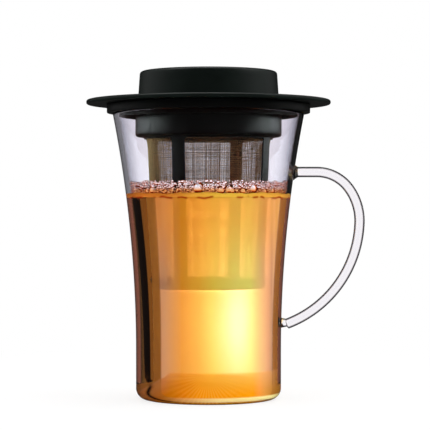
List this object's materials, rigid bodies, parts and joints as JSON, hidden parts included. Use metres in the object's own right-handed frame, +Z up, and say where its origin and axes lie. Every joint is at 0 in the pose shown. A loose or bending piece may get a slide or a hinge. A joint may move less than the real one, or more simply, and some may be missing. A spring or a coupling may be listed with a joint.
{
  "type": "lidded tea mug with infuser",
  "caption": "Tall clear glass mug, flared at the lip, with a bent glass rod handle, a drop-in gauze infuser basket and a brimmed black lift-off lid.",
  "frame": {"origin": "centre of the cup's flat foot, on the surface it stands on", "axes": "+Z up along the cup's axis, +X towards the handle, -Y towards the viewer"},
  "size_m": [0.1307, 0.1146, 0.1535],
  "materials": {
    "clear_glass": "clear fire-polished borosilicate glass",
    "infuser_plastic": "satin black moulded polypropylene",
    "lid_plastic": "satin black moulded polypropylene",
    "steel_gauze": "fine plain-weave stainless gauze"
  },
  "bodies": {
    "mug": {"glass_cup": "clear_glass", "glass_handle": "clear_glass", "handle_top_gather": "clear_glass", "handle_foot_gather": "clear_glass"},
    "infuser": {"infuser_frame": "infuser_plastic", "mesh_sleeve": "steel_gauze", "mesh_floor": "steel_gauze"},
    "lid": {"lid": "lid_plastic"}
  },
  "joints": [
    {"name": "infuser_lift", "type": "slide", "parent": "mug", "child": "infuser", "axis": [0, 0, 1], "range_m": [0, 0.12]},
    {"name": "lid_lift", "type": "slide", "parent": "infuser", "child": "lid", "axis": [0, 0, 1], "range_m": [0, 0.05]}
  ]
}
